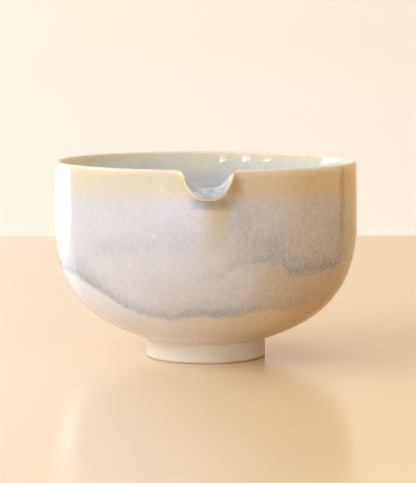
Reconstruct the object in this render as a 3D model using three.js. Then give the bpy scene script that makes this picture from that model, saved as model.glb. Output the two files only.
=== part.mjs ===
// Small tea bowl with a pouring lip: a thrown clay shell, a lip and a foot ring luted on with
// slip, and glaze coats inside, outside and over the rim.
// Millimetres, +Z up. The lip points along -Y and the foot stands on z = 0.
import * as THREE from "three";
import { mergeVertices } from "three/addons/utils/BufferGeometryUtils.js";

const DEG = Math.PI / 180;
const RIGHT_ANGLE = Math.PI / 2;

// Outline of the glazed bowl
const RIM_HEIGHT = 78;
const BELLY_RADIUS = 60;
const BELLY_HEIGHT = 54.2;
const RIM_INSET = 0.4;
const SHOULDER_HANDLE = 27;
const UNDERSIDE_HANDLE = 25.1;
const UNDERSIDE_SLOPE = 17.7 * DEG;

// Wall, glaze and joints
const FLOOR_THICKNESS = 5.2;
const WALL_THICKNESS = 3.2;
const RIM_THICKNESS = 2.4;
const THINNING_HEIGHT = 50;
const RIM_EASE = 8;
const COAT = 0.4;
const RIM_BAND = 7.5;
const SLIP = 0.5;
const GAP = 0.3;

// Foot
const FOOT_RADIUS = 23.65;
const FOOT_HEIGHT = 7.5;
const FOOT_WALL = 4;
const FOOT_TAPER = 0.6;
const FOOT_CHAMFER = 0.6;
const FLOOR_DROP = 2.6;
const FLOOR_HANDLE = 5;

// Pouring lip
const NOTCH_DEPTH = 6.4;
const NOTCH_HALF_WIDTH = 7.95;
const NOTCH_POWER = 3.5;
const LIP_BEND = 130 * DEG;
const LIP_HALF_WIDTH = 9.8;
const LIP_POWER = 10;
const APRON_LENGTH = 2.8;
const APRON_HALF_WIDTH = 10;
const APRON_POWER = 4;
const UNDERCUT_RADIUS = 0.7;
const LIP_SWELL = 0.8;
const SWELL_HEIGHT = 16;
const SWELL_HALF_WIDTH = 12;
const SWELL_POWER = 2;

// Patch of clay that the lip was shaped from before it was luted in
const PATCH_HALF_WIDTH = 14;
const PATCH_BELOW_BAND = 1.2;

// Facets
const FLOOR_STEPS = 3;
const WALL_STEPS = 9;
const BEND_STEPS = 4;
const CROWN_STEPS = 4;
const TROUGH_STATIONS = 4;
const FLANK_STATIONS = 7;
const BACK_STATIONS = 16;
const FOOT_SIDES = 40;

// The lip's steep flanks, as parts of its half width
const FLANK_START = 0.7;
const FLANK_END = 1.2;

// Numerical limits
const HALVINGS = 40;
const TANGENT_STEP = 1e-4;
const SAME_POINT = 1e-5;

const { clamp, lerp, smoothstep } = THREE.MathUtils;
const point = (radius, height) => new THREE.Vector2(radius, height);

// The outline runs up from the axis in three stretches: -1 to 0 is the floor inside the foot,
// 0 to 1 the underside and shoulder, and 1 to UPPER_END the wall from the belly to the rim.
const UPPER_END = 1.5;
const junction = point(FOOT_RADIUS, FOOT_HEIGHT);
const slope = point(Math.cos(UNDERSIDE_SLOPE), Math.sin(UNDERSIDE_SLOPE));
const floorHeight = FOOT_HEIGHT - FLOOR_DROP;
const floorCurve = new THREE.CubicBezierCurve(
  point(0, floorHeight),
  point(FOOT_RADIUS / 2, floorHeight),
  junction.clone().addScaledVector(slope, -FLOOR_HANDLE),
  junction,
);
const shoulderCurve = new THREE.CubicBezierCurve(
  junction,
  junction.clone().addScaledVector(slope, UNDERSIDE_HANDLE),
  point(BELLY_RADIUS, BELLY_HEIGHT - SHOULDER_HANDLE),
  point(BELLY_RADIUS, BELLY_HEIGHT),
);

function outline(t) {
  if (t <= 0) return floorCurve.getPoint(t + 1);
  if (t <= 1) return shoulderCurve.getPoint(t);
  const up = (t - 1) / (UPPER_END - 1);
  return point(BELLY_RADIUS - RIM_INSET * up * up, lerp(BELLY_HEIGHT, RIM_HEIGHT, up));
}

// 1 in the lip's middle, falling to 0 beyond its half width, steeper with a higher power
const FADE_END = 0.02;
function bump(along, halfWidth, power) {
  const value = Math.exp(-((Math.abs(along) / halfWidth) ** power));
  return Math.max(0, (value - FADE_END) / (1 - FADE_END));
}

// The value between low and high at which a rising function reaches the target
function solve(rising, target, low, high) {
  for (let i = 0; i < HALVINGS; i++) {
    const middle = (low + high) / 2;
    if (rising(middle) < target) low = middle;
    else high = middle;
  }
  return (low + high) / 2;
}

// What the lip does to the wall at a distance along the rim from the lip's middle: the wall
// rises to the bend, turns outward about the undercut and ends in a straight apron.
const BEND_RADIUS = UNDERCUT_RADIUS + RIM_THICKNESS / 2;
function lipAt(along) {
  const bend = LIP_BEND * bump(along, LIP_HALF_WIDTH, LIP_POWER);
  const apron = APRON_LENGTH * bump(along, APRON_HALF_WIDTH, APRON_POWER);
  const crest = RIM_HEIGHT - NOTCH_DEPTH * bump(along, NOTCH_HALF_WIDTH, NOTCH_POWER);
  const rise =
    bend < RIGHT_ANGLE ? BEND_RADIUS * Math.sin(bend) + apron * Math.cos(bend) : BEND_RADIUS;
  const swell = LIP_SWELL * bump(along, SWELL_HALF_WIDTH, SWELL_POWER);
  return { bend, apron, swell, bendHeight: crest - rise - RIM_THICKNESS / 2 };
}

// Outline point at t with the lip's swelling, its inward normal and the wall's thickness there.
// Near the rim the wall is eased back on the inside.
function wallAt(t, lip) {
  const swollen = (u) => {
    const p = outline(u);
    p.x += lip.swell * smoothstep(p.y, lip.bendHeight - SWELL_HEIGHT, lip.bendHeight);
    return p;
  };
  const outer = swollen(t);
  const ahead = swollen(Math.min(t + TANGENT_STEP, UPPER_END));
  const tangent = ahead.sub(swollen(t - TANGENT_STEP)).normalize();
  if (t === -1) tangent.set(1, 0);
  const thinned = smoothstep(outer.y, FOOT_HEIGHT, THINNING_HEIGHT);
  const eased = clamp((outer.y - lip.bendHeight) / RIM_EASE + 1, 0, 1) ** 2;
  const thickness =
    lerp(FLOOR_THICKNESS, WALL_THICKNESS, thinned) + (RIM_THICKNESS - WALL_THICKNESS) * eased;
  const normal = point(-tangent.y, tangent.x);
  return { middle: outer.addScaledVector(normal, thickness / 2), normal, tangent, thickness };
}

// Where the outside coat begins, clear of the foot, on the outline
const coatStart = solve(
  (t) => {
    const lip = lipAt(Math.PI * BELLY_RADIUS);
    const wall = wallAt(t, lip);
    return wall.middle.x + wall.normal.x * (COAT - wall.thickness / 2);
  },
  FOOT_RADIUS + GAP,
  0,
  1,
);

// Steps below the bend, down the wall: the rim band, the gap under it, the lip's patch, and the
// gap, slip and gap under the patch
const bandDrop = RIM_BAND;
const coatDrop = bandDrop + GAP;
const patchDrop = coatDrop + PATCH_BELOW_BAND;
const jointWidths = [0, GAP, GAP + SLIP, GAP + SLIP + GAP];
const drops = [...jointWidths.map((width) => patchDrop + width).reverse(), coatDrop, bandDrop, 0];

// The wall's middle line in the upright plane at one angle from the lip, from the axis to the
// rim's end: floor, underside and wall, the steps below the bend, the bend and the apron.
function middleLine(angle) {
  const lip = lipAt(angle * BELLY_RADIUS);
  const at = (drop) =>
    solve((t) => wallAt(t, lip).middle.y, lip.bendHeight - drop, coatStart, UPPER_END);
  const line = [];
  for (let i = 0; i < FLOOR_STEPS; i++) {
    line.push(wallAt(lerp(-1, coatStart, i / FLOOR_STEPS), lip));
  }
  const wallEnd = at(drops[0]);
  for (let i = 0; i < WALL_STEPS; i++) {
    line.push(wallAt(lerp(coatStart, wallEnd, i / WALL_STEPS), lip));
  }
  line.push(...drops.map((drop) => wallAt(at(drop), lip)));

  const foot = line.at(-1);
  const centre = foot.middle.clone().addScaledVector(foot.normal, -BEND_RADIUS);
  for (let i = 1; i <= BEND_STEPS; i++) {
    const turn = (lip.bend * i) / BEND_STEPS;
    const normal = foot.normal.clone().rotateAround(point(0, 0), -turn);
    const tangent = foot.tangent.clone().rotateAround(point(0, 0), -turn);
    const middle = centre.clone().addScaledVector(normal, BEND_RADIUS);
    line.push({ middle, normal, tangent, thickness: RIM_THICKNESS });
  }
  const { middle, normal, tangent, thickness } = line.at(-1);
  const end = middle.clone().addScaledVector(tangent, lip.apron);
  line.push({ middle: end, normal, tangent, thickness });
  return line;
}

// Marks on a middle line, as indices
const COAT_START = FLOOR_STEPS;
const JOINT_START = COAT_START + WALL_STEPS;
const PATCH_START = JOINT_START + jointWidths.length - 1;
const COAT_END = PATCH_START + 1;
const BAND_START = COAT_END + 1;
const RIM_END = BAND_START + 1 + BEND_STEPS + 1;

// Points along part of a middle line, a depth under the outside or the inside of the wall
function outside(line, depth, from, to) {
  return line
    .slice(from, to + 1)
    .map((s) => s.middle.clone().addScaledVector(s.normal, depth - s.thickness / 2));
}

function inside(line, depth, from, to) {
  return line
    .slice(from, to + 1)
    .map((s) => s.middle.clone().addScaledVector(s.normal, s.thickness / 2 - depth));
}

// The rounded rim between the outside and the inside, a depth under the surface
function crown(line, depth) {
  const end = line[RIM_END];
  const radius = end.thickness / 2 - depth;
  const points = [];
  for (let i = 1; i < CROWN_STEPS; i++) {
    const turn = Math.PI * (i / CROWN_STEPS - 1 / 2);
    const p = end.middle.clone().addScaledVector(end.tangent, radius * Math.cos(turn));
    points.push(p.addScaledVector(end.normal, radius * Math.sin(turn)));
  }
  return points;
}

// Distances along the rim from the lip's middle to the upright planes, closest together on the
// lip's flanks, with one on each side of the gaps and the slip round its patch
function stations() {
  const flankStart = LIP_HALF_WIDTH * FLANK_START;
  const flankEnd = LIP_HALF_WIDTH * FLANK_END;
  const half = [];
  for (let i = 1; i <= TROUGH_STATIONS; i++) half.push((flankStart * i) / TROUGH_STATIONS);
  for (let i = 1; i <= FLANK_STATIONS; i++) {
    half.push(lerp(flankStart, flankEnd, i / FLANK_STATIONS));
  }
  half.push(...jointWidths.map((width) => PATCH_HALF_WIDTH + width));
  const from = half.at(-1);
  const back = Math.PI * BELLY_RADIUS;
  for (let i = 1; i < BACK_STATIONS; i++) half.push(lerp(from, back, i / BACK_STATIONS));
  return [0, ...half, back, ...half.reverse().map((along) => -along)];
}

const alongs = stations();
const angles = alongs.map((along) => along / BELLY_RADIUS);
const lines = angles.map(middleLine);

// A point of the upright plane at a station, in space
function place(p, station) {
  const angle = angles[station];
  return new THREE.Vector3(p.x * Math.sin(angle), -p.x * Math.cos(angle), p.y);
}

// Collects triangles, each quad split on its shorter diagonal, and leaves out those that shrink
// to a line on the axis or where the lip has faded out
function faces() {
  const corners = [];
  const triangle = (a, b, c) => {
    const shrunk = [a.distanceTo(b), b.distanceTo(c), c.distanceTo(a)].some((d) => d < SAME_POINT);
    if (!shrunk) corners.push(a, b, c);
  };
  const quad = (a, b, c, d) => {
    if (a.distanceTo(c) < b.distanceTo(d)) {
      triangle(a, b, c);
      triangle(a, c, d);
    } else {
      triangle(a, b, d);
      triangle(b, c, d);
    }
  };
  const geometry = () => {
    return mergeVertices(new THREE.BufferGeometry().setFromPoints(corners), SAME_POINT);
  };
  return { triangle, quad, geometry };
}

// Surface through one closed loop of points at each station, going up on the outside
function loft(loopOf) {
  const loops = lines.map((line, i) => loopOf(line).map((p) => place(p, i)));
  const { quad, geometry } = faces();
  loops.forEach((loop, i) => {
    const next = loops[(i + 1) % loops.length];
    loop.forEach((p, j) => {
      const k = (j + 1) % loop.length;
      quad(p, next[j], next[k], loop[k]);
    });
  });
  return geometry();
}

// The part of the clay shell in the cells between stations and marks that belong to a piece
function shellPiece(belongs) {
  const depth = COAT + GAP;
  const outer = lines.map((line, i) => outside(line, depth, 0, RIM_END).map((p) => place(p, i)));
  const inner = lines.map((line, i) => inside(line, depth, 0, RIM_END).map((p) => place(p, i)));
  const rims = lines.map((line, i) => [
    outer[i][RIM_END],
    ...crown(line, depth).map((p) => place(p, i)),
    inner[i][RIM_END],
  ]);
  const count = lines.length;
  const has = (i, j) => {
    const a = (i + count) % count;
    const b = (a + 1) % count;
    return belongs((Math.abs(alongs[a]) + Math.abs(alongs[b])) / 2, j);
  };
  const { triangle, quad, geometry } = faces();
  const side = (i, j, flip) => {
    const ring = [outer[i][j], outer[i][j + 1]];
    if (j + 1 === RIM_END) ring.push(...rims[i].slice(1, -1));
    ring.push(inner[i][j + 1], inner[i][j]);
    if (flip) ring.reverse();
    for (let k = 2; k < ring.length; k++) triangle(ring[0], ring[k - 1], ring[k]);
  };
  for (let i = 0; i < count; i++) {
    const n = (i + 1) % count;
    for (let j = 0; j < RIM_END; j++) {
      if (!has(i, j)) continue;
      quad(outer[i][j], outer[n][j], outer[n][j + 1], outer[i][j + 1]);
      quad(inner[i][j], inner[i][j + 1], inner[n][j + 1], inner[n][j]);
      if (!has(i - 1, j)) side(i, j, false);
      if (!has(i + 1, j)) side(n, j, true);
      if (j > 0 && !has(i, j - 1)) quad(outer[i][j], inner[i][j], inner[n][j], outer[n][j]);
      if (j + 1 === RIM_END) {
        for (let k = 1; k < rims[i].length; k++) {
          quad(rims[i][k - 1], rims[n][k - 1], rims[n][k], rims[i][k]);
        }
      } else if (!has(i, j + 1)) {
        quad(outer[i][j + 1], outer[n][j + 1], inner[n][j + 1], inner[i][j + 1]);
      }
    }
  }
  return geometry();
}

// Clay shell under the coats: the wall, the lip's patch and the slip round the patch
const patchWith = (steps) => (along, mark) =>
  along < PATCH_HALF_WIDTH + jointWidths[steps] && mark >= PATCH_START - steps;
const inPatch = patchWith(0);
const inInnerGap = patchWith(1);
const inSlip = patchWith(2);
const inOuterGap = patchWith(3);
const wallGeometry = shellPiece((along, mark) => !inOuterGap(along, mark));
const lipSlipGeometry = shellPiece(
  (along, mark) => inSlip(along, mark) && !inInnerGap(along, mark),
);
const lipGeometry = shellPiece(inPatch);

// Glaze coats. The outside and inside coats pass the joint's marks in one stretch.
const plain = (points) =>
  points.filter((p, i) => i < points.length - jointWidths.length || i === points.length - 1);
const outerCoatGeometry = loft((line) => [
  ...plain(outside(line, 0, COAT_START, COAT_END)),
  ...plain(outside(line, COAT, COAT_START, COAT_END)).reverse(),
]);
const innerCoatGeometry = loft((line) => [
  ...plain(inside(line, COAT, 0, COAT_END)),
  ...plain(inside(line, 0, 0, COAT_END)).reverse(),
]);
const rimCoatGeometry = loft((line) => [
  ...outside(line, 0, BAND_START, RIM_END),
  ...crown(line, 0),
  ...inside(line, 0, BAND_START, RIM_END).reverse(),
  ...inside(line, COAT, BAND_START, RIM_END),
  ...crown(line, COAT).reverse(),
  ...outside(line, COAT, BAND_START, RIM_END).reverse(),
]);

// Point of the bowl's underside at a radius, a depth above the outline
function undersideAt(radius, depth) {
  const lip = lipAt(Math.PI * BELLY_RADIUS);
  const at = (t) => {
    const wall = wallAt(t, lip);
    return wall.middle.addScaledVector(wall.normal, depth - wall.thickness / 2);
  };
  return point(radius, at(solve((t) => at(t).x, radius, -1, 1)).y);
}

const spin = (profile) =>
  new THREE.LatheGeometry([...profile, profile[0]], FOOT_SIDES).rotateX(RIGHT_ANGLE);

const footInner = FOOT_RADIUS - FOOT_WALL;
const footMiddle = FOOT_RADIUS - FOOT_WALL / 2;
const slipTop = COAT;
const slipBottom = slipTop - SLIP;
const footTop = slipBottom - GAP;

// Slip between the bowl's underside and the foot ring
const footSlipGeometry = spin([
  undersideAt(footInner, slipBottom),
  undersideAt(footMiddle, slipBottom),
  undersideAt(FOOT_RADIUS, slipBottom),
  undersideAt(FOOT_RADIUS, slipTop),
  undersideAt(footMiddle, slipTop),
  undersideAt(footInner, slipTop),
]);

// Foot ring, upright outside, a little wider inside at the table, with its edges broken
const footGeometry = spin([
  point(footInner + FOOT_TAPER, FOOT_CHAMFER),
  point(footInner + FOOT_TAPER + FOOT_CHAMFER, 0),
  point(FOOT_RADIUS - FOOT_CHAMFER, 0),
  point(FOOT_RADIUS, FOOT_CHAMFER),
  undersideAt(FOOT_RADIUS, footTop),
  undersideAt(footMiddle, footTop),
  undersideAt(footInner, footTop),
]);

function piece(name, geometry, color, roughness) {
  geometry.computeVertexNormals();
  const material = new THREE.MeshStandardMaterial({ color, roughness, metalness: 0 });
  const mesh = new THREE.Mesh(geometry, material);
  mesh.name = name;
  return mesh;
}

const bowl = new THREE.Group();
bowl.add(
  piece("bowl_wall", wallGeometry, 0xe6dac6, 0.85),
  piece("pouring_lip", lipGeometry, 0xe6dac6, 0.85),
  piece("lip_slip_seam", lipSlipGeometry, 0xd9cab2, 0.9),
  piece("foot_ring", footGeometry, 0xece0cc, 0.8),
  piece("foot_slip_seam", footSlipGeometry, 0xd9cab2, 0.9),
  piece("inner_glaze", innerCoatGeometry, 0xa9ab9f, 0.2),
  piece("outer_glaze", outerCoatGeometry, 0xbfb3a4, 0.2),
  piece("rim_glaze", rimCoatGeometry, 0xe0c8a0, 0.2),
);

// The lip reaches past the belly, so the bowl moves back to keep the origin under its middle
const lipEnd = lines[0][RIM_END];
const lipReach = lipEnd.middle.x + lipEnd.thickness / 2;
bowl.position.y = (lipReach - BELLY_RADIUS) / 2;

const part = new THREE.Group();
part.add(bowl);

export default part;
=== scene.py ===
import math

import bpy
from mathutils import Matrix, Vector


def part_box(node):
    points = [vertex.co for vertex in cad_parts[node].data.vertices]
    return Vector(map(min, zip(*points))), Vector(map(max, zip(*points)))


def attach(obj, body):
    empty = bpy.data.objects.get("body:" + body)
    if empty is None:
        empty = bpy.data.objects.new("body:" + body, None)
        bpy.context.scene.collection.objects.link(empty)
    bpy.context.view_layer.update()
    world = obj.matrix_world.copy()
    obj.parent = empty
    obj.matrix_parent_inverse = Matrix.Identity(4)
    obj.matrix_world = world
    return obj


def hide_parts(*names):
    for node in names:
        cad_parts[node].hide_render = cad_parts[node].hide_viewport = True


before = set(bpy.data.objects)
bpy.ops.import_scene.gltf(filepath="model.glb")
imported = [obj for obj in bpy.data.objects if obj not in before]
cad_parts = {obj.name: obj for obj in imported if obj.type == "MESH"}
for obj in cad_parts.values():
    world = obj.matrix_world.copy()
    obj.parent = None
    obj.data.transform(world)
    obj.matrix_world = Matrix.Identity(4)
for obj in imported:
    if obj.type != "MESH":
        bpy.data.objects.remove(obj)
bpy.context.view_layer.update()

# Tea bowl with a pouring lip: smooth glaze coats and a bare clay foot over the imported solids.
# The bowl's own sizes are in millimetres, as in the solids, and MM turns them into metres.
MM = 0.001

# Outline of the glazed bowl
RIM_HEIGHT = 78.0
BELLY_RADIUS = 60.0
BELLY_HEIGHT = 54.2
RIM_INSET = 0.4
SHOULDER_HANDLE = 27.0
UNDERSIDE_HANDLE = 25.1
UNDERSIDE_SLOPE = math.radians(17.7)

# Wall and coats
FLOOR_THICKNESS = 5.2
WALL_THICKNESS = 3.2
RIM_THICKNESS = 2.4
THINNING_HEIGHT = 50.0
RIM_EASE = 8.0
COAT = 0.4
RIM_BAND = 7.5

# Foot
FOOT_RADIUS = 23.65
FOOT_HEIGHT = 7.5
FOOT_WALL = 4.0
FOOT_TAPER = 0.6
FOOT_ROUND = 0.6
FLOOR_DROP = 2.6
FLOOR_HANDLE = 5.0

# Pouring lip
NOTCH_DEPTH = 6.4
NOTCH_HALF_WIDTH = 7.95
NOTCH_POWER = 3.5
LIP_BEND = math.radians(130)
LIP_HALF_WIDTH = 9.8
LIP_POWER = 10
APRON_LENGTH = 2.8
APRON_HALF_WIDTH = 10.0
APRON_POWER = 4
UNDERCUT_RADIUS = 0.7
LIP_SWELL = 0.8
SWELL_HEIGHT = 16.0
SWELL_HALF_WIDTH = 12.0
SWELL_POWER = 2
FADE_END = 0.02

# The bowl's axis stands a little behind the middle of its box, where the foot ring is
foot_low, foot_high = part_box("foot_ring")
AXIS_Y = (foot_low.y + foot_high.y) / 2

# How the glaze thins to a pale line on the rim, on the lip's edge and on its crest
LINE_TURN = 0.42
RIM_LINE_WIDTH = 2.2
LIP_LINE_WIDTH = 0.5
LIP_LINE_START = 6.5
LIP_LINE_END = 3.0
CREST_THINNING = 0.55
CREST_ANGLE = math.radians(86)
CREST_SPREAD = math.radians(10)

# Bare clay in the foot, just proud of the shell, and how far pieces run under each other
COAT_UNDER_FOOT = 0.15
RECESS_DEPTH = 0.55
RECESS_FILLET = 0.8
HIDDEN_DEPTH = 1.0

# Mesh density
FLOOR_STEPS = 10
WALL_STEPS = 56
BAND_STEPS = 12
BEND_STEPS = 20
APRON_STEPS = 6
CROWN_STEPS = 14
RECESS_STEPS = 12
ROUND_STEPS = 6
FACE_STEPS = 8
LIP_ZONE = 16.0
LIP_STEP = 0.4
BACK_STEP = 3.0
FOOT_SIDES = 160
ON_AXIS = 1e-6
SHARP_ANGLE = math.radians(50)


def lerp(a, b, t):
    return a + (b - a) * t


def smooth(value, low, high):
    t = min(max((value - low) / (high - low), 0.0), 1.0)
    return t * t * (3 - 2 * t)


def bezier(p0, p1, p2, p3, t):
    s = 1 - t
    return p0 * s**3 + p1 * (3 * s * s * t) + p2 * (3 * s * t * t) + p3 * t**3


JUNCTION = Vector((FOOT_RADIUS, FOOT_HEIGHT))
SLOPE = Vector((math.cos(UNDERSIDE_SLOPE), math.sin(UNDERSIDE_SLOPE)))
FLOOR_CURVE = (
    Vector((0, FOOT_HEIGHT - FLOOR_DROP)),
    Vector((FOOT_RADIUS / 2, FOOT_HEIGHT - FLOOR_DROP)),
    JUNCTION - SLOPE * FLOOR_HANDLE,
    JUNCTION,
)
SHOULDER_CURVE = (
    JUNCTION,
    JUNCTION + SLOPE * UNDERSIDE_HANDLE,
    Vector((BELLY_RADIUS, BELLY_HEIGHT - SHOULDER_HANDLE)),
    Vector((BELLY_RADIUS, BELLY_HEIGHT)),
)
UPPER_END = 1.5


def outline(t):
    """Point (radius, height) of the glazed outline: floor from -1, shoulder from 0, wall from 1."""
    if t <= 0:
        return bezier(*FLOOR_CURVE, t + 1)
    if t <= 1:
        return bezier(*SHOULDER_CURVE, t)
    up = (t - 1) / (UPPER_END - 1)
    return Vector((BELLY_RADIUS - RIM_INSET * up * up, lerp(BELLY_HEIGHT, RIM_HEIGHT, up)))


def bump(along, half_width, power):
    value = math.exp(-((abs(along) / half_width) ** power))
    return max(0.0, (value - FADE_END) / (1 - FADE_END))


def solve(rising, target, low, high):
    for _ in range(40):
        middle = (low + high) / 2
        if rising(middle) < target:
            low = middle
        else:
            high = middle
    return (low + high) / 2


BEND_RADIUS = UNDERCUT_RADIUS + RIM_THICKNESS / 2


def lip_at(along):
    """What the lip does to the wall at a distance along the rim from the lip's middle."""
    bend = LIP_BEND * bump(along, LIP_HALF_WIDTH, LIP_POWER)
    apron = APRON_LENGTH * bump(along, APRON_HALF_WIDTH, APRON_POWER)
    crest = RIM_HEIGHT - NOTCH_DEPTH * bump(along, NOTCH_HALF_WIDTH, NOTCH_POWER)
    rise = BEND_RADIUS
    if bend < math.pi / 2:
        rise = BEND_RADIUS * math.sin(bend) + apron * math.cos(bend)
    return {
        "bend": bend,
        "apron": apron,
        "swell": LIP_SWELL * bump(along, SWELL_HALF_WIDTH, SWELL_POWER),
        "height": crest - rise - RIM_THICKNESS / 2,
        "pooled": 1 - smooth(abs(along), LIP_LINE_END, LIP_LINE_START),
    }


def wall_at(t, lip):
    """(middle of the wall, inward normal, tangent, thickness) at t on the outline."""

    def swollen(u):
        p = outline(u)
        p.x += lip["swell"] * smooth(p.y, lip["height"] - SWELL_HEIGHT, lip["height"])
        return p

    step = 1e-4
    outer = swollen(t)
    tangent = (swollen(min(t + step, UPPER_END)) - swollen(t - step)).normalized()
    if t == -1:
        tangent = Vector((1, 0))
    thinned = smooth(outer.y, FOOT_HEIGHT, THINNING_HEIGHT)
    eased = min(max((outer.y - lip["height"]) / RIM_EASE + 1, 0.0), 1.0) ** 2
    thickness = lerp(FLOOR_THICKNESS, WALL_THICKNESS, thinned)
    thickness += (RIM_THICKNESS - WALL_THICKNESS) * eased
    normal = Vector((-tangent.y, tangent.x))
    return outer + normal * (thickness / 2), normal, tangent, thickness


def turned(vector, angle):
    """A plane vector turned clockwise."""
    c, s = math.cos(angle), math.sin(angle)
    return Vector((vector.x * c + vector.y * s, vector.y * c - vector.x * s))


def middle_line(along):
    """Stations (middle, normal, tangent, thickness, thinned glaze, pooled glaze) from axis to rim."""
    lip = lip_at(along)

    def at(height):
        return solve(lambda t: wall_at(t, lip)[0].y, height, 0.0, UPPER_END)

    band = at(lip["height"] - RIM_BAND)
    top = at(lip["height"])
    places = [lerp(-1, COAT_T, i / FLOOR_STEPS) for i in range(FLOOR_STEPS)]
    places += [lerp(COAT_T, band, i / WALL_STEPS) for i in range(WALL_STEPS)]
    places += [lerp(band, top, i / BAND_STEPS) for i in range(BAND_STEPS + 1)]
    bend = lip["bend"]
    pooled = lip["pooled"]
    line = [(*wall_at(t, lip), 0.0, pooled) for t in places]
    middle, normal, tangent = line[-1][:3]
    centre = middle - normal * BEND_RADIUS
    for i in range(1, BEND_STEPS + 1):
        angle = bend * i / BEND_STEPS
        n = turned(normal, angle)
        crest = CREST_THINNING * math.exp(-(((angle - CREST_ANGLE) / CREST_SPREAD) ** 2))
        line.append((centre + n * BEND_RADIUS, n, turned(tangent, angle), RIM_THICKNESS, crest, pooled))
    middle, normal, tangent = line[-1][:3]
    for i in range(1, APRON_STEPS + 1):
        run = lip["apron"] * i / APRON_STEPS
        line.append((middle + tangent * run, normal, tangent, RIM_THICKNESS, 0.0, pooled))
    return line


# The outside coat runs down to just inside the foot's outer face, so no gap shows there
COAT_T = solve(lambda t: outline(t).x, FOOT_RADIUS - COAT_UNDER_FOOT, -1, 1)
COAT_START = FLOOR_STEPS
BAND_START = COAT_START + WALL_STEPS
BEND_START = BAND_START + BAND_STEPS
RIM_END = BEND_START + BEND_STEPS + APRON_STEPS


def thin_line(line, along_section):
    """How thin the glaze is at a distance from the rim's outer corner, over the rim to the inside."""
    share = line[RIM_END][5]
    half_round = math.pi * RIM_THICKNESS / 2
    middle = LINE_TURN * half_round
    away = (along_section - middle) / lerp(RIM_LINE_WIDTH, LIP_LINE_WIDTH, share)
    return math.exp(-away * away)


def side(line, depth, first, last, inside):
    """Points (place, inside mark, thinned-glaze mark) along one side of the wall."""
    sign = 1 if inside else -1
    rim = line[RIM_END][0]
    points = []
    for middle, normal, _, width, thinned, _ in line[first : last + 1]:
        place = middle + normal * (sign * (width / 2 - depth))
        reach = (middle - rim).length
        if inside:
            thin = max(thinned, thin_line(line, math.pi * RIM_THICKNESS / 2 + reach))
        else:
            thin = thin_line(line, -reach)
        points.append((place, float(inside), thin))
    return points


def crown(line, depth):
    middle, normal, tangent, width = line[RIM_END][:4]
    radius = width / 2 - depth
    points = []
    for i in range(1, CROWN_STEPS):
        turn = i / CROWN_STEPS
        angle = math.pi * (turn - 0.5)
        place = middle + tangent * (radius * math.cos(angle)) + normal * (radius * math.sin(angle))
        points.append((place, turn, thin_line(line, turn * math.pi * RIM_THICKNESS / 2)))
    return points


def rim_stations():
    fine = round(LIP_ZONE / LIP_STEP)
    half = [LIP_ZONE * i / fine for i in range(1, fine)]
    back = math.pi * BELLY_RADIUS
    coarse = round((back - LIP_ZONE) / BACK_STEP)
    half += [lerp(LIP_ZONE, back, i / coarse) for i in range(coarse)]
    return [0.0, *half, back, *[-a for a in reversed(half)]]


ALONGS = rim_stations()
LINES = [middle_line(a) for a in ALONGS]


def in_space(p, along):
    angle = along / BELLY_RADIUS
    radius = max(p.x, 0.0) * MM
    return Vector((radius * math.sin(angle), AXIS_Y - radius * math.cos(angle), p.y * MM))


def make_object(name, vertices, faces, marks=None):
    mesh = bpy.data.meshes.new(name)
    mesh.from_pydata(vertices, [], faces)
    mesh.shade_smooth()
    mesh.set_sharp_from_angle(angle=SHARP_ANGLE)
    for key, values in (marks or {}).items():
        attribute = mesh.attributes.new(key, "FLOAT", "POINT")
        attribute.data.foreach_set("value", values)
    obj = bpy.data.objects.new(name, mesh)
    bpy.context.collection.objects.link(obj)
    return obj


def loft(name, loop_of):
    """Closed surface through one closed loop of marked points at each station."""
    vertices, faces, index = [], [], {}
    marks = {"inside": [], "thin": []}

    def vertex(point, along):
        place, inside, thin = point
        co = in_space(place, along)
        key = tuple(round(c, 8) for c in co)
        if key not in index:
            index[key] = len(vertices)
            vertices.append(co)
            marks["inside"].append(inside)
            marks["thin"].append(thin)
        return index[key]

    loops = [[vertex(p, along) for p in loop_of(line)] for line, along in zip(LINES, ALONGS)]
    for i, loop in enumerate(loops):
        following = loops[(i + 1) % len(loops)]
        for j in range(len(loop)):
            k = (j + 1) % len(loop)
            corners = [loop[j], following[j], following[k], loop[k]]
            face = list(dict.fromkeys(corners))
            if len(face) > 2:
                faces.append(face)
    return make_object(name, vertices, faces, marks)


def outer_loop(line):
    front = side(line, 0, COAT_START, BAND_START, False)
    back = side(line, COAT, COAT_START, BAND_START, False)
    return front + back[::-1]


def inner_loop(line):
    front = side(line, 0, 0, BAND_START, True)
    back = side(line, COAT, 0, BAND_START, True)
    return back + front[::-1]


def rim_loop(line):
    loop = side(line, 0, BAND_START, RIM_END, False)
    loop += crown(line, 0)
    loop += side(line, 0, BAND_START, RIM_END, True)[::-1]
    loop += side(line, COAT, BAND_START, RIM_END, True)
    loop += crown(line, COAT)[::-1]
    loop += side(line, COAT, BAND_START, RIM_END, False)[::-1]
    return loop


def under_height(radius, depth):
    """Height of the bowl's underside at a radius, a depth into the clay."""
    return outline(solve(lambda t: outline(t).x, radius, -1, 1)).y + depth


def arc(centre, radius, start, end, steps):
    """Points (radius, height) of a rounded edge, from one angle in degrees to another."""
    angles = [math.radians(lerp(start, end, i / steps)) for i in range(steps + 1)]
    return [(centre[0] + radius * math.cos(a), centre[1] + radius * math.sin(a)) for a in angles]


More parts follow.
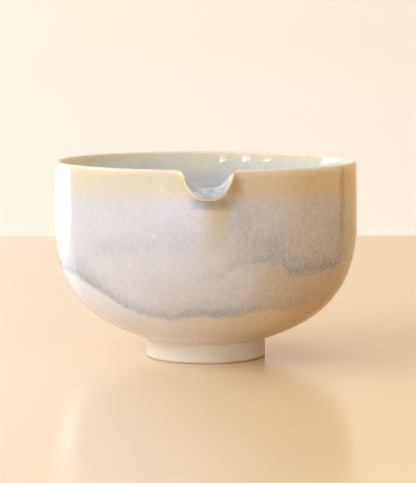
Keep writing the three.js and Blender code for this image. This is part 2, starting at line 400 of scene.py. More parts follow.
def foot_profile():
    """Section of the bare clay foot: recess, inner face, rounded standing edge, outer face."""
    inner = FOOT_RADIUS - FOOT_WALL
    floor = inner + FOOT_TAPER
    radii = [inner * i / RECESS_STEPS for i in range(RECESS_STEPS)]
    top = under_height(inner, RECESS_DEPTH)
    recess = [(r, under_height(r, RECESS_DEPTH)) for r in radii if r < inner - RECESS_FILLET]
    fillet = arc((inner - RECESS_FILLET, top - RECESS_FILLET), RECESS_FILLET, 90, 0, ROUND_STEPS)
    foot_in = arc((floor + FOOT_ROUND, FOOT_ROUND), FOOT_ROUND, 180, 270, ROUND_STEPS)
    foot_out = arc((FOOT_RADIUS - FOOT_ROUND, FOOT_ROUND), FOOT_ROUND, 270, 360, ROUND_STEPS)
    face = [(FOOT_RADIUS, lerp(FOOT_ROUND, FOOT_HEIGHT, i / FACE_STEPS)) for i in range(1, FACE_STEPS)]
    seat = [(FOOT_RADIUS, under_height(FOOT_RADIUS, COAT / 2))]
    hidden = [(r, under_height(r, HIDDEN_DEPTH)) for r in [FOOT_RADIUS, *reversed(radii)]]
    return recess + fillet + foot_in + foot_out + face + seat + hidden


def lathe(name, profile, sides):
    """Closed surface spun from a section that starts and ends on the axis."""
    vertices, faces = [], []
    rows = []
    for radius, height in profile:
        if radius < ON_AXIS:
            rows.append([len(vertices)] * sides)
            vertices.append(Vector((0, AXIS_Y, height * MM)))
            continue
        rows.append(list(range(len(vertices), len(vertices) + sides)))
        alongs = [BELLY_RADIUS * math.tau * i / sides for i in range(sides)]
        vertices += [in_space(Vector((radius, height)), along) for along in alongs]
    for low, high in zip(rows, rows[1:]):
        for i in range(sides):
            k = (i + 1) % sides
            face = list(dict.fromkeys([low[i], low[k], high[k], high[i]]))
            if len(face) > 2:
                faces.append(face)
    return make_object(name, vertices, faces)


def tone(red, green, blue):
    """Linear colour of a colour as it shows on a screen, 0 to 255."""

    def linear(value):
        v = value / 255
        return v / 12.92 if v <= 0.04045 else ((v + 0.055) / 1.055) ** 2.4

    return linear(red), linear(green), linear(blue)


# Turn of the marks about the bowl's axis, in degrees
MARK_TURN = 0.7


class Paint:
    """One material's node tree, with short ways to add the nodes that paint it."""

    def __init__(self, name):
        self.material = bpy.data.materials.new(name)
        self.material.use_nodes = True
        self.nodes = self.material.node_tree.nodes
        self.links = self.material.node_tree.links
        self.shader = self.nodes["Principled BSDF"]

    def add(self, kind, settings=None, **inputs):
        node = self.nodes.new(kind)
        for key, value in (settings or {}).items():
            setattr(node, key, value)
        for key, value in inputs.items():
            self.put(node.inputs[key.replace("_", " ")], value)
        return node

    def put(self, socket, value):
        if isinstance(value, bpy.types.NodeSocket):
            self.links.new(value, socket)
        elif socket.type == "RGBA":
            socket.default_value = (*value, 1)
        else:
            socket.default_value = value

    def math(self, operation, *values, clamp=False):
        node = self.nodes.new("ShaderNodeMath")
        node.operation = operation
        node.use_clamp = clamp
        for socket, value in zip(node.inputs, values):
            self.put(socket, value)
        return node.outputs[0]

    def plus(self, a, b):
        return self.math("ADD", a, b)

    def minus(self, a, b):
        return self.math("SUBTRACT", a, b)

    def times(self, a, b):
        return self.math("MULTIPLY", a, b)

    def capped(self, a, b=1.0):
        """A product kept between 0 and 1."""
        return self.math("MULTIPLY", a, b, clamp=True)

    def faded(self, a, share, strength):
        """A value less the strength times the share of it."""
        return self.times(a, self.plus(1.0, self.times(share, -strength)))

    def step(self, value, low, high):
        """0 below low, 1 above high, smooth between; low may be the larger."""
        node = self.nodes.new("ShaderNodeMapRange")
        node.interpolation_type = "SMOOTHSTEP"
        self.put(node.inputs["Value"], value)
        self.put(node.inputs["From Min"], min(low, high))
        self.put(node.inputs["From Max"], max(low, high))
        self.put(node.inputs["To Min"], 0.0 if low < high else 1.0)
        self.put(node.inputs["To Max"], 1.0 if low < high else 0.0)
        return node.outputs["Result"]

    def curve(self, value, low, high, points):
        """A smooth curve through points (at, height), with heights from 0 to 1."""
        node = self.nodes.new("ShaderNodeFloatCurve")
        share = self.math("DIVIDE", self.plus(value, -low), high - low, clamp=True)
        self.put(node.inputs["Value"], share)
        line = node.mapping.curves[0]
        ordered = [((at - low) / (high - low), height) for at, height in points]
        line.points[0].location = ordered[0]
        line.points[1].location = ordered[-1]
        for place in ordered[1:-1]:
            line.points.new(*place)
        node.mapping.update()
        return node.outputs[0]

    def noise(self, vector, scale, detail=2.0, roughness=0.5):
        node = self.add("ShaderNodeTexNoise", Vector=vector, Scale=scale, Detail=detail)
        self.put(node.inputs["Roughness"], roughness)
        return node.outputs["Fac"]

    def mix(self, share, a, b):
        node = self.nodes.new("ShaderNodeMix")
        node.data_type = "RGBA"
        self.put(node.inputs[0], share)
        self.put(node.inputs[6], a)
        self.put(node.inputs[7], b)
        return node.outputs[2]

    def tint(self, share, colour, by):
        """A colour multiplied by a tint, as far as the share says."""
        node = self.nodes.new("ShaderNodeMix")
        node.data_type = "RGBA"
        node.blend_type = "MULTIPLY"
        self.put(node.inputs[0], share)
        self.put(node.inputs[6], colour)
        self.put(node.inputs[7], by)
        return node.outputs[2]

    def shade(self, colour, factor):
        """A colour multiplied by a number."""
        node = self.nodes.new("ShaderNodeVectorMath")
        node.operation = "SCALE"
        self.put(node.inputs[0], colour)
        self.put(node.inputs["Scale"], factor)
        return node.outputs[0]

    def mark(self, name):
        return self.add("ShaderNodeAttribute", {"attribute_name": name}).outputs["Fac"]

    def from_axis(self):
        """Place in millimetres from the bowl's axis, as a vector and as x, y and height."""
        place = self.nodes.new("ShaderNodeTexCoord").outputs["Object"]
        moved = self.nodes.new("ShaderNodeVectorMath")
        moved.operation = "MULTIPLY_ADD"
        self.put(moved.inputs[0], place)
        self.put(moved.inputs[1], (1 / MM, 1 / MM, 1 / MM))
        self.put(moved.inputs[2], (0, -AXIS_Y / MM, 0))
        parts = self.nodes.new("ShaderNodeSeparateXYZ")
        self.put(parts.inputs[0], moved.outputs[0])
        return moved.outputs[0], parts.outputs[0], parts.outputs[1], parts.outputs[2]

    def stretched(self, vector, x, y, z):
        node = self.nodes.new("ShaderNodeVectorMath")
        node.operation = "MULTIPLY"
        self.put(node.inputs[0], vector)
        self.put(node.inputs[1], (x, y, z))
        return node.outputs[0]

    def relief(self, height, distance):
        """Bump from a height between 0 and 1, with its depth in millimetres."""
        node = self.add("ShaderNodeBump", Height=height)
        node.inputs["Distance"].default_value = distance * MM
        return node.outputs["Normal"]


# Glaze colours: body and underside on the cool lit left side and on the warm shaded right side, and the
# inside. The warm tones are partly glaze colour and partly painted warm bounce light from the table, and
# the far underside tone is a painted warm reflection of the table
BODY_COOL = tone(219, 217, 222)
BODY_WARM = tone(211, 191, 165)
# Far right of the body: partly glaze colour and partly painted warm bounce light
BODY_FAR_WARM = tone(206, 182, 148)
UNDER_COOL = tone(231, 230, 235)
UNDER_WARM = tone(214, 188, 150)
# Right underside: painted warm reflection of the table
UNDER_BOUNCE = tone(188, 144, 86)
INSIDE_OLIVE = tone(232, 209, 163)
INSIDE_CREAM = tone(238, 226, 198)
INSIDE_UPPER = tone(232, 225, 208)
INSIDE_DEEP = tone(213, 212, 211)
TROUGH_GREY = tone(184, 187, 192)
TROUGH_PALE = tone(208, 209, 210)
THIN_CREAM = tone(247, 230, 200)
FLECK_AND_GLINT_TONE = tone(252, 250, 246)

# Tints that the marks lay over them, at full strength
OCHRE_TINT = (1.10, 0.95, 0.63)
BAND_TINT = (0.37, 0.46, 0.58)
GREY_TINT = (0.72, 0.77, 0.83)
HAZE_TINT = (0.84, 0.91, 0.98)
LOW_WARM_TINT = (0.90, 0.80, 0.68)
STREAK_TINT = (0.98, 0.87, 0.60)
FLANK_SHADE_TINT = (0.72, 0.62, 0.46)
POOL_AND_SHADE_TINT = (0.70, 0.75, 0.83)
PALE_AND_SHEEN_TINT = (1.12, 1.15, 1.22)
GRAIN_TINT = (0.76, 0.85, 0.94)
GRIT_TINT = (1.10, 0.97, 0.84)

# The dark band and the second one above it: height of the lower edge, strength, and how far the
# haze reaches up from it, by angle from the lip
BAND_EDGE = (
    (-180, 25), (-140, 29), (-100, 34), (-70, 36), (-59, 35), (-52, 32.3), (-46, 30.4), (-40, 26.8),
    (-35, 24.4), (-30, 22.8), (-25, 21.8), (-20, 21.1), (-15, 20.8), (-10, 21.7), (-5, 22.7), (0, 22.9),
    (5, 22.5), (10, 22.3), (15, 22.7), (20, 24), (28, 24.6), (36, 24), (42, 24.3), (48, 26), (58, 27.5),
    (85, 30), (120, 28), (150, 26), (180, 25),
)
BAND_STRENGTH = (
    (-180, 0.5), (-120, 0.7), (-75, 0.7), (-52, 0.75), (-44, 0.7), (-35, 0.66), (-25, 0.58), (-16, 0.7),
    (-5, 0.95), (5, 0.92), (14, 0.85), (22, 0.52), (32, 0.27), (44, 0.36), (56, 0.26), (90, 0.5),
    (130, 0.6), (180, 0.5),
)
BAND_REACH = (
    (-180, 5), (-100, 6), (-60, 5.5), (-45, 4.5), (-33, 4), (-22, 2.8), (-10, 2.4), (5, 2.6), (18, 3),
    (30, 3.4), (60, 4), (100, 5), (150, 6), (180, 5),
)
SECOND_EDGE = (
    (-180, 38), (-90, 43), (-20, 35), (-6, 36.6), (5, 37.8), (9, 40.6), (13, 42.7), (20, 43.2), (26, 43.2),
    (30, 39.6), (33, 37.9), (38, 37.7), (46, 38.1), (55, 38.4), (60, 39.6), (66, 42), (76, 44), (110, 43),
    (150, 40), (180, 38),
)
SECOND_STRENGTH = (
    (-180, 0.2), (-150, 0.0), (-10, 0.0), (-2, 0.15), (8, 0.3), (15, 0.45), (24, 0.66), (32, 0.76),
    (44, 0.92), (54, 0.95), (61, 0.8), (70, 0.5), (85, 0.35), (120, 0.5), (150, 0.4), (180, 0.2),
)
SECOND_REACH = (
    (-180, 6), (-60, 6), (0, 2.2), (10, 4), (20, 5), (28, 6.5), (36, 6), (46, 5.5), (56, 6.5), (90, 6),
    (180, 6),
)
# Where the glaze below the second band turns warm: partly glaze colour and partly painted warm bounce
# light from the table
LOW_WARMTH = (
    (-180, 0.3), (-120, 0.3), (-70, 0.0), (10, 0.0), (20, 0.3), (30, 0.9), (60, 1.0), (100, 0.7),
    (150, 0.4), (180, 0.3),
)
# Soft grey clouds, pale clouds that are partly painted reflection, and painted brown shade below the
# lip's right flank: angle, height, half width in degrees, half height in millimetres, strength
GREY_CLOUDS = (
    (-38, 48, 11, 4, 0.42),
    (-24, 50.5, 9, 3.5, 0.2),
    (-10, 51, 7, 7, 0.3),
    (12, 58, 6, 8, 0.5),
    (22, 51, 8, 4, 0.35),
    (-20, 33, 16, 6, 0.25),
    (57, 55, 7, 6, 0.4),
    (-55, 39, 8, 6, 0.35),
    (115, 55, 25, 8, 0.4),
    (-115, 52, 25, 8, 0.4),
    (175, 56, 20, 7, 0.35),
)
# Pale clouds: paler glaze by the lip, and painted reflection of the bright table and window low on the
# left
PALE_AND_SHEEN_CLOUDS = (
    (-8, 65, 13, 12, 1.0),
    (-30, 29, 16, 6, 0.8),
    (-8, 40, 12, 10, 0.3),
    (-63, 40, 8, 8, 0.9),
)
# Painted shade below the right flank of the lip
FLANK_SHADE_SPOTS = (
    (10.3, 71.5, 2.9, 5.0, 0.95),
    (6.0, 65.8, 3.2, 2.4, 0.95),
)
# A pale glaze fleck and a painted glint highlight: angle, height, half length, half width in millimetres,
# tilt in degrees
FLECK_AND_GLINT = (
    (-18.5, 53.2, 0.45, 0.45, 0),
    (-16.2, 71.4, 1.3, 0.22, -50),
)
FLECK_AND_GLINT_EDGE = (1.25, 0.7)
# What the tables' heights, reaches and strengths are shared by, to fit a curve from 0 to 1
TABLE_TOP = 50
REACH_TOP = 10

# Noises of the glaze: scale per millimetre, octaves, roughness
SLOW = (0.055, 3, 0.55)
RIPPLE = (0.35, 4, 0.6)
STREAKY = (1.0, 3, 0.6)
STREAKY_STRETCH = (1.1, 1.1, 0.1)
GRAIN = (2.3, 4, 0.75)
MOTTLE = (0.6, 2, 0.6)
SPECKLE = (2.6, 1, 0.5)
GENTLE = (0.12, 2, 0.5)
RINGS = (1.0, 1, 0.5)
RINGS_STRETCH = (0.012, 0.012, 0.22)

# How far the noises move the marks: by ripple and grain, or by streaks, ripple and slow noise
MARK_WANDER = (2.6, 1.4)
OCHRE_WANDER = (3.0, 7.0)
STREAK_WANDER = (5.0, 5.0)
LINING_WANDER = (5.0, 2.0)
WARM_SHADED_WANDER = 16.0

# Where each part of the outside sets in, as (none, full): across from the axis and up in
# millimetres, round in degrees, above or below a band's edge in millimetres
WARM_SHADED_ACROSS = (-8.0, 58.0)
FAR_WARM_ACROSS = (46.0, 60.0)
FRONTWARD_ROUND = (105.0, 68.0)
LOW_WARM_BELOW = (-1.0, 2.0)
UNDER_WARM_ACROSS = (-32.0, 42.0)
UNDER_BOUNCE_ACROSS = (26.0, 50.0)
UNDER_BOUNCE_SHARE = 0.75
UNDER_EDGE = (1.5, -1.5)
BAND_LOWER_EDGE = (-1.8, 2.0)
OCHRE_UP = (63.5, 72.5)
OCHRE_SHARE = 0.78
OCHRE_WARM_SHARE = 0.3
STREAK_LEFT = (-2.5, 3.0)
STREAK_RIGHT = (11.0, 5.5)
STREAK_LOW = (40.0, 60.0)
STREAK_HIGH = (67.5, 64.5)
# Under the lip: glaze pooled below the overhang, with painted shade of the lip over it
UNDER_LIP_MIDDLE = -0.8
UNDER_LIP_ROUND = (5.5, 2.5)
UNDER_LIP_UP = (62.6, 64.4)
HAZED_ACROSS = (-42.0, -54.0)

# The same for the inside, and for the trough of the lip
INSIDE_UPPER_UP = (65.0, 71.5)
INSIDE_RIM_UP = (73.0, 77.5)
INSIDE_CREAM_ACROSS = (-50.0, -10.0)
INSIDE_DULL_SHARE = 0.6
TROUGH_ROUND = (8.5, 6.5)
TROUGH_OUT = (-58.0, -59.5)
WITHIN = (0.35, 0.65)
THIN_SHARE = 0.92

# Values of a noise from none to full, where it decides how a mark breaks up
CLOTTED_NOISE = (0.32, 0.62)
HAZE_NOISE = (0.42, 0.75)
DULL_NOISE = (0.42, 0.62)
PATCH_NOISE = (0.4, 0.62)
CURDLED_NOISE = (0.42, 0.66)
GRIT_NOISE = (0.48, 0.3)
SPECK_NOISE = (0.62, 0.74)

# Gloss and relief of the glaze
GLAZE_ROUGHNESS = 0.05
BAND_ROUGHNESS = 0.05
GRAIN_ROUGHNESS = 0.03
THIN_ROUGHNESS = 0.3
HAZED_ROUGHNESS = 0.1
GLAZE_IOR = 1.5
RINGS_RELIEF = 0.3
GENTLE_RELIEF = 0.5
GRAIN_RELIEF = 0.015
GLAZE_RELIEF = 0.5


def glaze_paint(name):
    """Glossy ash-toned glaze: ochre where it is thin at the rim, grey-blue in hazy bands."""
    p = Paint(name)
    place, x, y, z = p.from_axis()
    inside = p.mark("inside")
    thin = p.mark("thin")
    from_lip = p.times(p.math("ARCTAN2", x, p.times(y, -1)), math.degrees(1))
    angle = p.plus(from_lip, MARK_TURN)

    slow = p.noise(place, *SLOW)
    ripple = p.noise(place, *RIPPLE)
    streaky = p.noise(p.stretched(place, *STREAKY_STRETCH), *STREAKY)
    grain = p.noise(place, *GRAIN)
    mottle = p.noise(place, *MOTTLE)
    speckle = p.noise(place, *SPECKLE)
    gentle = p.noise(place, *GENTLE)

    def around(value, amount):
        """A noise as a signed offset."""
        return p.times(p.plus(value, -0.5), amount)

    def wander(first, second, amounts):
        """Two noises as one signed offset."""
        return p.plus(around(first, amounts[0]), around(second, amounts[1]))

    height = p.plus(z, wander(ripple, grain, MARK_WANDER))

    def by_angle(points, top=1):
        curve = p.curve(angle, -180, 180, [(a, v / top) for a, v in points])
        return p.times(curve, top)

    def cloud(middle, level, half_width, half_height, strength):
        across = p.times(p.plus(angle, -middle), 1 / half_width)
        up = p.times(p.plus(height, -level), 1 / half_height)
        far = p.plus(p.times(across, across), p.times(up, up))
        return p.times(p.math("EXPONENT", p.times(far, -1)), strength)

    def clouds(rows):
        total = cloud(*rows[0])
        for row in rows[1:]:
            total = p.plus(total, cloud(*row))
        return total

    def band(edge, reach, strength):
        """Dark at a soft lower edge and fading upward over its reach."""
        above = p.minus(height, edge)
        lower = p.step(above, *BAND_LOWER_EDGE)
        fade = p.math("EXPONENT", p.times(p.math("DIVIDE", p.math("MAXIMUM", above, 0), reach), -1))
        return p.times(p.times(lower, fade), strength)

    first_edge = by_angle(BAND_EDGE, TABLE_TOP)
    second_edge = by_angle(SECOND_EDGE, TABLE_TOP)
    first = band(first_edge, by_angle(BAND_REACH, REACH_TOP), by_angle(BAND_STRENGTH))
    second = band(second_edge, by_angle(SECOND_REACH, REACH_TOP), by_angle(SECOND_STRENGTH))
    clotted = p.step(p.plus(grain, around(mottle, 0.5)), *CLOTTED_NOISE)
    clotted = p.plus(0.45, p.times(clotted, 0.85))

    # Outside, from the plain body up to the marks that lie over it
    # The warm right side, away from the key light: partly glaze colour and partly painted warm bounce
    # light
    warm_shaded_side = p.step(p.plus(x, around(slow, WARM_SHADED_WANDER)), *WARM_SHADED_ACROSS)
    colour = p.mix(warm_shaded_side, BODY_COOL, BODY_WARM)
    # Further right, short of the back: a warmer body tone, partly painted warm bounce light
    frontward = p.step(angle, *FRONTWARD_ROUND)
    colour = p.mix(p.times(p.step(x, *FAR_WARM_ACROSS), frontward), colour, BODY_FAR_WARM)
    # Below the second band: warmer, partly painted warm bounce light from the table
    low = p.step(p.minus(second_edge, height), *LOW_WARM_BELOW)
    colour = p.tint(p.times(low, by_angle(LOW_WARMTH)), colour, LOW_WARM_TINT)
    under = p.mix(p.step(x, *UNDER_WARM_ACROSS), UNDER_COOL, UNDER_WARM)
    # Right underside: painted warm reflection of the table, fading round towards the back
    bounce_under = p.times(p.step(x, *UNDER_BOUNCE_ACROSS), frontward)
    under = p.mix(p.times(bounce_under, UNDER_BOUNCE_SHARE), under, UNDER_BOUNCE)
    colour = p.mix(p.step(p.minus(height, first_edge), *UNDER_EDGE), colour, under)
    haze = p.times(p.step(p.plus(slow, around(streaky, 0.3)), *HAZE_NOISE), 0.35)
    colour = p.tint(p.capped(haze), colour, HAZE_TINT)
    colour = p.tint(p.capped(clouds(GREY_CLOUDS), clotted), colour, GREY_TINT)
    bands = p.capped(p.plus(first, second), clotted)
    colour = p.tint(bands, colour, BAND_TINT)
    runs = p.plus(z, wander(streaky, slow, OCHRE_WANDER))
    deepened = p.plus(OCHRE_SHARE, p.times(p.times(warm_shaded_side, frontward), OCHRE_WARM_SHARE))
    ochre = p.times(p.step(runs, *OCHRE_UP), deepened)
    colour = p.tint(p.capped(ochre), colour, OCHRE_TINT)
    # Pale clouds, partly paler glaze and partly painted reflection
    colour = p.tint(p.capped(clouds(PALE_AND_SHEEN_CLOUDS)), colour, PALE_AND_SHEEN_TINT)
    wavy = p.plus(angle, wander(ripple, slow, STREAK_WANDER))
    streak = p.times(p.step(wavy, *STREAK_LEFT), p.step(wavy, *STREAK_RIGHT))
    streak = p.times(streak, p.times(p.step(height, *STREAK_LOW), p.step(z, *STREAK_HIGH)))
    colour = p.tint(streak, colour, STREAK_TINT)
    # Painted brown shade below the lip's right flank
    colour = p.tint(p.capped(clouds(FLANK_SHADE_SPOTS)), colour, FLANK_SHADE_TINT)
    # Under the lip: pooled glaze, darkened further by painted shade of the lip
    pool_and_shade = p.step(p.math("ABSOLUTE", p.plus(wavy, -UNDER_LIP_MIDDLE)), *UNDER_LIP_ROUND)
    colour = p.tint(p.times(pool_and_shade, p.step(height, *UNDER_LIP_UP)), colour, POOL_AND_SHADE_TINT)

    # Inside, olive-beige near the rim and grey-blue below it
    level = p.plus(z, wander(slow, ripple, LINING_WANDER))
    lining = p.mix(p.step(level, *INSIDE_UPPER_UP), INSIDE_DEEP, INSIDE_UPPER)
    dull = p.step(p.plus(slow, around(ripple, 0.9)), *DULL_NOISE)
    lining = p.tint(p.times(dull, INSIDE_DULL_SHARE), lining, HAZE_TINT)
    upper = p.mix(p.step(x, *INSIDE_CREAM_ACROSS), INSIDE_OLIVE, INSIDE_CREAM)
    lining = p.mix(p.step(level, *INSIDE_RIM_UP), lining, upper)
    trough = p.step(p.math("ABSOLUTE", from_lip), *TROUGH_ROUND)
    trough = p.times(trough, p.step(y, *TROUGH_OUT))
    patches = p.step(p.plus(mottle, around(ripple, 0.5)), *PATCH_NOISE)
    lining = p.mix(trough, lining, p.mix(patches, TROUGH_GREY, TROUGH_PALE))
    within = p.step(inside, *WITHIN)
    colour = p.mix(within, colour, lining)
    colour = p.mix(p.times(thin, THIN_SHARE), colour, THIN_CREAM)

    # Blue curdling, warm grit between it, fine streaks, dark specks, a pale fleck and a painted glint
    # highlight
    curdled = p.step(p.plus(grain, around(mottle, 0.5)), *CURDLED_NOISE)
    curdled = p.times(curdled, p.plus(0.5, p.times(warm_shaded_side, 0.8)))
    curdled = p.faded(p.faded(curdled, within, 0.7), ochre, 0.5)
    colour = p.tint(p.capped(curdled), colour, GRAIN_TINT)
    grit = p.step(p.plus(grain, around(mottle, 0.4)), *GRIT_NOISE)
    grit = p.times(p.faded(grit, within, 0.8), p.plus(0.3, p.times(warm_shaded_side, 0.8)))
    colour = p.tint(grit, colour, GRIT_TINT)
    # Fine streaks and grain, and painted shade that makes the warm right side a little darker
    fine = p.plus(p.times(streaky, 0.06), p.times(grain, p.plus(0.14, p.times(warm_shaded_side, 0.3))))
    colour = p.shade(colour, p.plus(p.plus(0.99, p.times(warm_shaded_side, -0.09)), fine))
    colour = p.shade(colour, p.plus(1.0, p.times(p.step(speckle, *SPECK_NOISE), -0.14)))
    # The round pale fleck, and the tilted painted glint highlight below the rim
    for turn, level, half_length, half_width, tilt in FLECK_AND_GLINT:
        c, s = math.cos(math.radians(tilt)), math.sin(math.radians(tilt))
        across = p.times(p.plus(angle, -turn), math.radians(1) * BELLY_RADIUS)
        up = p.plus(z, -level)
        long_way = p.times(p.plus(p.times(across, c), p.times(up, s)), 1 / half_length)
        short_way = p.times(p.plus(p.times(up, c), p.times(across, -s)), 1 / half_width)
        off = p.math("SQRT", p.plus(p.times(long_way, long_way), p.times(short_way, short_way)))
        colour = p.mix(p.step(off, *FLECK_AND_GLINT_EDGE), colour, FLECK_AND_GLINT_TONE)

    p.put(p.shader.inputs["Base Color"], colour)
    uneven = p.plus(p.times(bands, BAND_ROUGHNESS), p.times(grain, GRAIN_ROUGHNESS))
    rough = p.plus(GLAZE_ROUGHNESS, uneven)
    rough = p.plus(rough, p.times(p.times(thin, within), THIN_ROUGHNESS))
    hazed = p.faded(p.step(x, *HAZED_ACROSS), within, 1.0)
    rough = p.plus(rough, p.times(hazed, HAZED_ROUGHNESS))
    p.put(p.shader.inputs["Roughness"], rough)
    p.shader.inputs["IOR"].default_value = GLAZE_IOR
    rings = p.noise(p.stretched(place, *RINGS_STRETCH), *RINGS)
    fine_relief = p.plus(p.times(gentle, GENTLE_RELIEF), p.times(grain, GRAIN_RELIEF))
    relief = p.plus(p.times(rings, RINGS_RELIEF), fine_relief)
    p.put(p.shader.inputs["Normal"], p.relief(relief, GLAZE_RELIEF))
    return p.material


# Tints of the bare clay: painted shade on its right side, and a painted contact shadow where it stands on
# the table
RIGHT_SHADE_TINT = (0.80, 0.62, 0.42)
RIGHT_SHADE_ACROSS = (4.0, 26.0)
RIGHT_SHADE_WANDER = 10.0
RIGHT_SHADE_SHARE = 0.85
CONTACT_SHADE_TINT = (0.55, 0.40, 0.26)
CONTACT_SHADE_UP = (1.1, 0.4)
TURNING_SCALE = 1.6


def clay_paint(name, light, dark, depth, shaded_right=False):
    """Bare fired clay with fine grain, turning lines and a few dark specks."""
    p = Paint(name)
    place, x, y, z = p.from_axis()
    radius = p.math("SQRT", p.plus(p.times(x, x), p.times(y, y)))
    out, up = p.times(radius, TURNING_SCALE), p.times(z, TURNING_SCALE)
    turning = p.add("ShaderNodeCombineXYZ", X=out, Y=0.0, Z=up).outputs[0]
    lines = p.noise(turning, 1.0, 3, 0.6)
    slow = p.noise(place, 0.12, 3, 0.6)
    grain = p.noise(place, 2.2, 4, 0.7)
    speck = p.step(p.noise(place, 1.3, 1, 0.5), 0.70, 0.76)
    colour = p.mix(p.step(p.plus(slow, p.times(lines, 0.35)), 0.4, 0.95), light, dark)
    if shaded_right:
        # Painted shade on the foot's right side, away from the key light: browner and darker
        right_shade = p.step(p.plus(x, p.times(p.plus(slow, -0.5), RIGHT_SHADE_WANDER)), *RIGHT_SHADE_ACROSS)
        colour = p.tint(p.times(right_shade, RIGHT_SHADE_SHARE), colour, RIGHT_SHADE_TINT)
        # Painted contact shadow at the foot's bottom, stronger on the shaded right
        contact_shade = p.times(p.step(z, *CONTACT_SHADE_UP), p.plus(0.45, p.times(right_shade, 0.5)))
        colour = p.tint(contact_shade, colour, CONTACT_SHADE_TINT)
    colour = p.shade(colour, p.plus(0.98, p.times(grain, 0.08)))
    colour = p.shade(colour, p.plus(1.0, p.times(speck, -0.25)))
    p.put(p.shader.inputs["Base Color"], colour)
    p.put(p.shader.inputs["Roughness"], p.plus(0.62, p.times(grain, 0.2)))
    relief = p.plus(p.times(lines, 0.7), p.times(grain, 0.3))
    p.put(p.shader.inputs["Normal"], p.relief(relief, depth))
    return p.material


def dress(obj, material, slot, *nodes):
    obj.data.materials.append(material)
    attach(obj, "root")
    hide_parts(*nodes)


dress(loft("outer_glaze_coat", outer_loop), glaze_paint("outer_glaze"), "outer_glaze", "outer_glaze")
dress(loft("inner_glaze_coat", inner_loop), glaze_paint("inner_glaze"), "inner_glaze", "inner_glaze")
dress(loft("rim_glaze_coat", rim_loop), glaze_paint("rim_glaze"), "rim_glaze", "rim_glaze")
foot_clay = clay_paint("foot_clay", tone(255, 251, 243), tone(250, 240, 222), 0.08, shaded_right=True)
foot = lathe("clay_foot", foot_profile(), FOOT_SIDES)
dress(foot, foot_clay, "foot_clay", "foot_ring", "foot_slip_seam")
hidden_clay = clay_paint("shell_clay", tone(230, 217, 196), tone(214, 194, 166), 0.15)
slip_clay = clay_paint("slip_clay", tone(218, 202, 178), tone(200, 180, 152), 0.1)
for name, clay in (("bowl_wall", hidden_clay), ("pouring_lip", hidden_clay), ("lip_slip_seam", slip_clay)):
    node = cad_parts[name]
    node.data.materials.clear()
    node.data.materials.append(clay)

# Stage: a pale table that curves up into a pale wall
TABLE_DEPTH = 0.47
COVE_RADIUS = 0.12
COVE_STEPS = 12
WALL_HEIGHT = 2.5
TABLE_FRONT = -2.5
TABLE_HALF_WIDTH = 3.0
HORIZON_BLUR = 8.0
TABLE_LEFT = tone(254, 233, 208)
TABLE_RIGHT = tone(252, 213, 158)
TABLE_BLEND = 170.0
WALL_TONE = tone(254, 243, 229)
WALL_GLOW = 0.16
STAGE_ROUGHNESS = 0.2
SIDE_TONE = tone(250, 218, 172)
SIDE_START = (180.0, 330.0)
SIDE_END = (840.0, 740.0)
section = [(TABLE_FRONT, 0.0)]
for i in range(COVE_STEPS + 1):
    a = math.pi / 2 * i / COVE_STEPS
    section.append((TABLE_DEPTH + COVE_RADIUS * math.sin(a), COVE_RADIUS * (1 - math.cos(a))))
section.append((TABLE_DEPTH + COVE_RADIUS, WALL_HEIGHT))
stage_points = [Vector((x, y, z)) for x in (-TABLE_HALF_WIDTH, TABLE_HALF_WIDTH) for y, z in section]
count = len(section)
stage_faces = [(i, i + count, i + count + 1, i + 1) for i in range(count - 1)]
stage = make_object("table_and_wall", stage_points, stage_faces)


def stage_paint():
    """Plain tones, warmer and darker to the right as partly painted shade, with a little glow of the wall
    for rays that see it.

    The glow lights nothing, and a camera behind the stage looks through it.
    """
    p = Paint("pale_stage")
    place, x, y, z = p.from_axis()
    edge = TABLE_DEPTH / MM
    wall = p.step(y, edge - HORIZON_BLUR, edge + HORIZON_BLUR)
    # The table is warmer and darker towards the right: partly its own tone and partly painted shade on
    # that side
    table = p.mix(p.step(x, -TABLE_BLEND, TABLE_BLEND), TABLE_LEFT, TABLE_RIGHT)
    # Far right, off camera, the wall is painted darker and warmer: painted shade of the room, seen only in
    # the glaze's reflections
    beside = p.times(p.step(x, *SIDE_START), p.step(x, *SIDE_END))
    wall_colour = p.mix(beside, WALL_TONE, SIDE_TONE)
    colour = p.mix(wall, table, wall_colour)
    p.put(p.shader.inputs["Base Color"], colour)
    p.shader.inputs["Roughness"].default_value = STAGE_ROUGHNESS
    path = p.nodes.new("ShaderNodeLightPath")
    seen = p.plus(path.outputs["Is Camera Ray"], path.outputs["Is Glossy Ray"])
    seen = p.plus(seen, path.outputs["Is Transmission Ray"])
    p.put(p.shader.inputs["Emission Color"], wall_colour)
    p.put(p.shader.inputs["Emission Strength"], p.times(p.times(seen, wall), WALL_GLOW))
    behind = p.nodes.new("ShaderNodeNewGeometry").outputs["Backfacing"]
    clear = p.nodes.new("ShaderNodeBsdfTransparent").outputs[0]
    through = p.nodes.new("ShaderNodeMixShader")
    p.put(through.inputs[0], p.times(path.outputs["Is Camera Ray"], behind))
    p.links.new(p.shader.outputs[0], through.inputs[1])
    p.links.new(clear, through.inputs[2])
    p.links.new(through.outputs[0], p.nodes["Material Output"].inputs["Surface"])
    return p.material


stage.data.materials.append(stage_paint())

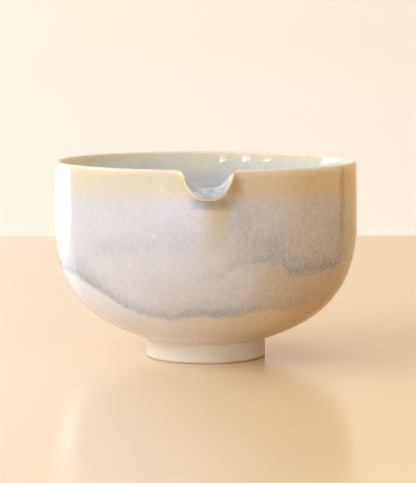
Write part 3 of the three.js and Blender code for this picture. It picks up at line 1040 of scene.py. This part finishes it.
# A dark upright behind the right side, which only shows as a reflection in the glaze
UPRIGHT_TURN = math.radians(62)
UPRIGHT_DISTANCE = 0.46
UPRIGHT_HALF_WIDTH = 0.032
UPRIGHT_HEIGHT = 0.2
across = Vector((math.cos(UPRIGHT_TURN), -math.sin(UPRIGHT_TURN), 0)) * UPRIGHT_HALF_WIDTH
middle = Vector((math.sin(UPRIGHT_TURN), math.cos(UPRIGHT_TURN), 0)) * UPRIGHT_DISTANCE
up = Vector((0, 0, UPRIGHT_HEIGHT))
upright_points = [middle - across, middle + across, middle + across + up, middle - across + up]
upright = make_object("dark_upright", upright_points, [(0, 1, 2, 3)])
upright_paint = Paint("dark_upright")
upright_paint.shader.inputs["Base Color"].default_value = (0.03, 0.03, 0.03, 1)
upright.data.materials.append(upright_paint.material)
upright.visible_camera = False
upright.visible_diffuse = False
upright.visible_shadow = False

# Camera, fitted to the bowl in the photograph
CAMERA_DISTANCE = 0.821
CAMERA_HEIGHT = 0.1309
CAMERA_PITCH = math.radians(5.94)
CAMERA_TURN = math.radians(0.8)
CAMERA_SIDE = 0.0009
CAMERA_LENS = 154.8
camera_data = bpy.data.cameras.new("camera")
camera_data.lens = CAMERA_LENS
camera = bpy.data.objects.new("camera", camera_data)
camera_x = CAMERA_SIDE - CAMERA_DISTANCE * math.sin(CAMERA_TURN)
camera_y = AXIS_Y - CAMERA_DISTANCE * math.cos(CAMERA_TURN)
camera.location = (camera_x, camera_y, CAMERA_HEIGHT)
camera.rotation_euler = (math.pi / 2 - CAMERA_PITCH, 0, -CAMERA_TURN)
bpy.context.collection.objects.link(camera)
bpy.context.scene.camera = camera


def area_light(name, place, target, size, power, colour):
    data = bpy.data.lights.new(name, "AREA")
    data.shape = "RECTANGLE"
    data.size, data.size_y = size
    data.energy = power
    data.color = colour
    light = bpy.data.objects.new(name, data)
    light.location = place
    direction = Vector(target) - Vector(place)
    light.rotation_euler = direction.to_track_quat("-Z", "Y").to_euler()
    light.visible_camera = False
    bpy.context.collection.objects.link(light)
    return light


# A soft key from the left, a window behind the left side that only shines in the glaze, and
# three lamps in front, left of the camera, by their turns from the front
KEY_PLACE = (-1.05, -0.45, 0.8)
KEY_TARGET = (0, 0, 0.05)
KEY_SIZE = (1.8, 0.5)
KEY_POWER = 11.0
KEY_COLOUR = (0.88, 0.95, 1)
WINDOW_PLACE = (-0.2865, 0.283, 0.083)
WINDOW_TARGET = (0, 0.003, 0.083)
WINDOW_SIZE = (0.224, 0.165)
WINDOW_POWER = 0.55
WINDOW_COLOUR = (0.86, 0.93, 1)
LAMP_TURNS = (16, 35, 56)
LAMP_HEIGHT = 0.24
LAMP_TARGET = (0, 0, 0.075)
LAMP_SIZE = (0.06, 0.02)
LAMP_POWER = 0.11
LAMP_COLOUR = (1, 1, 1)
ROOM_COLOUR = (1, 0.97, 0.94, 1)
ROOM_STRENGTH = 0.645
area_light("soft_key", KEY_PLACE, KEY_TARGET, KEY_SIZE, KEY_POWER, KEY_COLOUR)
window = area_light("window", WINDOW_PLACE, WINDOW_TARGET, WINDOW_SIZE, WINDOW_POWER, WINDOW_COLOUR)
window.visible_diffuse = False
for number, turn in enumerate(LAMP_TURNS):
    a = math.radians(turn)
    far = (-math.sin(a), -math.cos(a), LAMP_HEIGHT)
    area_light(f"lamp_{number}", far, LAMP_TARGET, LAMP_SIZE, LAMP_POWER, LAMP_COLOUR)
world = bpy.data.worlds.new("room")
world.use_nodes = True
world.node_tree.nodes["Background"].inputs["Color"].default_value = ROOM_COLOUR
world.node_tree.nodes["Background"].inputs["Strength"].default_value = ROOM_STRENGTH
bpy.context.scene.world = world
bpy.context.scene.view_settings.view_transform = "Standard"
